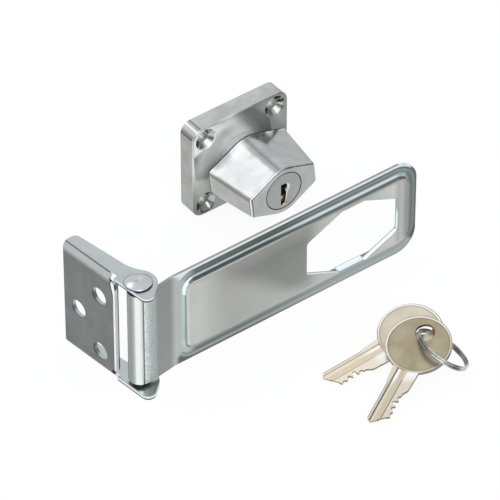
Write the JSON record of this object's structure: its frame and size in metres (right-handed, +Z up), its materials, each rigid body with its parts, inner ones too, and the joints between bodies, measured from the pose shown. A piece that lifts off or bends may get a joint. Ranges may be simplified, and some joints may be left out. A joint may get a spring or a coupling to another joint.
{
  "type": "locking hasp",
  "caption": "Hinged steel hasp with a raised strap, a surface plate with a keyed turn knob that holds the strap, and keys on a split ring.",
  "frame": {"origin": "middle of the whole set's footprint, at the ground it stands on", "axes": "+X along the strap from hinge to tip, +Y from the strap towards the lock plate, +Z up along the hinge pin"},
  "size_m": [0.1208, 0.1268, 0.0462],
  "materials": {
    "satin_steel": "satin",
    "leaf_steel": "matte",
    "polished_case": "polished",
    "plug_nickel": "satin",
    "spring_steel": "satin",
    "brass_parts": "satin",
    "key_nickel": "satin",
    "ring_steel": "polished"
  },
  "bodies": {
    "strap": {"strap": "satin_steel", "lock_plate": "polished_case"},
    "leaf": {"hinge_leaf": "leaf_steel", "hinge_pin": "satin_steel"},
    "knob": {"knob_body": "polished_case", "stop_washer": "spring_steel", "washer_screw_1": "spring_steel", "washer_screw_2": "spring_steel", "washer_screw_3": "spring_steel"},
    "plug": {"key_plug": "plug_nickel", "plug_clip": "spring_steel", "plug_cam": "spring_steel", "wafer_1": "brass_parts", "wafer_spring_1": "spring_steel", "wafer_2": "brass_parts", "wafer_spring_2": "spring_steel", "wafer_3": "brass_parts", "wafer_spring_3": "spring_steel", "wafer_4": "brass_parts", "wafer_spring_4": "spring_steel", "wafer_5": "brass_parts", "wafer_spring_5": "spring_steel"},
    "bolt": {"locking_bolt": "brass_parts"},
    "ring": {"key_ring": "ring_steel"},
    "front_key": {"key_front": "key_nickel"},
    "rear_key": {"key_rear": "key_nickel"}
  },
  "joints": [
    {"name": "leaf_hinge", "type": "hinge", "parent": "strap", "child": "leaf", "pos_m": [-0.05299, 0.00038, 0.0221], "axis": [0, 0, 1], "range_deg": [-94.6, 80]},
    {"name": "knob_turn", "type": "hinge", "parent": "strap", "child": "knob", "pos_m": [0.03086, 0.05638, 0.0188], "axis": [0, -1, 0], "range_deg": [-5.74, 84.26]},
    {"name": "key_turn", "type": "hinge", "parent": "knob", "child": "plug", "pos_m": [0.03086, 0.03218, 0.0188], "axis": [0, 1, 0], "range_deg": [0, 90]},
    {"name": "bolt_throw", "type": "slide", "parent": "knob", "child": "bolt", "axis": [0.995, 0, 0.1], "range_m": [0, 0.003]},
    {"name": "keys_lift", "type": "slide", "parent": "strap", "child": "ring", "axis": [0, 0, 1], "range_m": [0, 0.05]},
    {"name": "front_key_swing", "type": "hinge", "parent": "ring", "child": "front_key", "pos_m": [0.02892, -0.04659, 0.01125], "axis": [-0.2455, -0.1357, 0.9599], "range_deg": [-8, 2]},
    {"name": "rear_key_swing", "type": "hinge", "parent": "ring", "child": "rear_key", "pos_m": [0.03199, -0.04171, 0.00929], "axis": [-0.2535, -0.2138, 0.9434], "range_deg": [-8, 0]}
  ],
  "couplings": [
    {"joint": "bolt_throw", "follows": "key_turn", "m_per_rad": 0.0019087}
  ]
}
